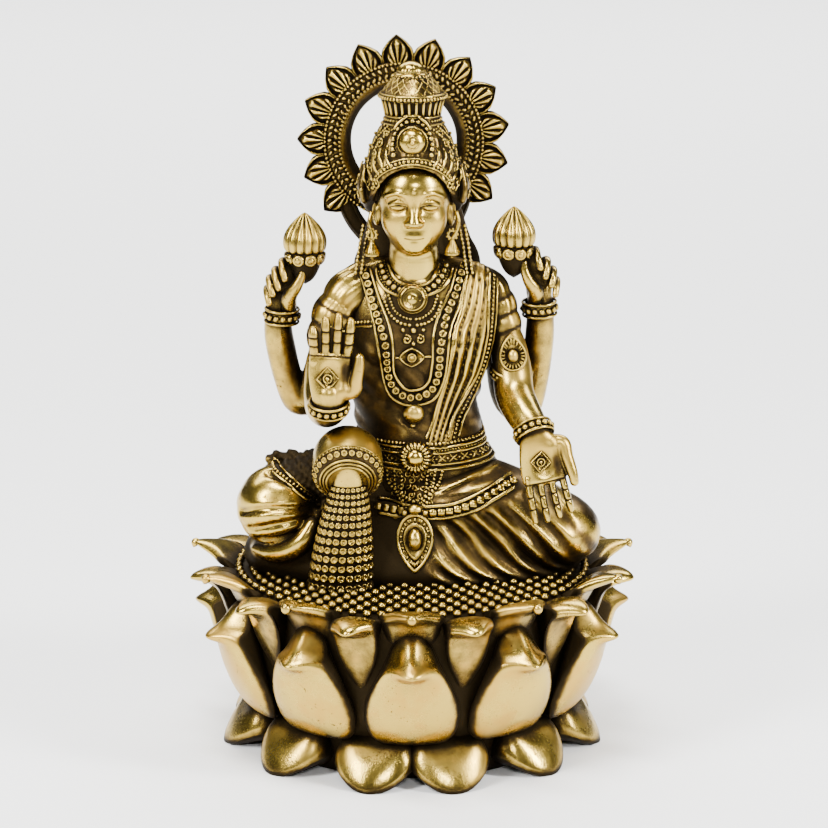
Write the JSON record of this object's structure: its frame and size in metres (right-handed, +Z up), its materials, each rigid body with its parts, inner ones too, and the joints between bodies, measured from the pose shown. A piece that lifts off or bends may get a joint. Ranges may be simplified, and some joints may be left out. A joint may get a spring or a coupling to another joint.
{
  "type": "lakshmi figure on a lotus throne",
  "caption": "Cast brass goddess seated on a lotus throne, with a ring of leaves behind the head; a tabletop household figure that stands on its own base.",
  "frame": {"origin": "middle of the throne's flat underside, on the surface that it stands on", "axes": "+Z up; the figure faces -Y; +X is to the right as seen from the front"},
  "size_m": [0.117, 0.1161, 0.1786],
  "materials": {
    "lotus_brass": "antique brass: polished, brushed petals with dark patina between them and fine casting pits",
    "figure_brass": "antique brass: polished high points, nearly black patina in every fold and around the beads",
    "halo_brass": "antique brass: polished leaf edges over a granular, dark band"
  },
  "bodies": {
    "root": {"lotus_throne": "lotus_brass", "figure": "figure_brass", "halo": "halo_brass"}
  },
  "joints": []
}
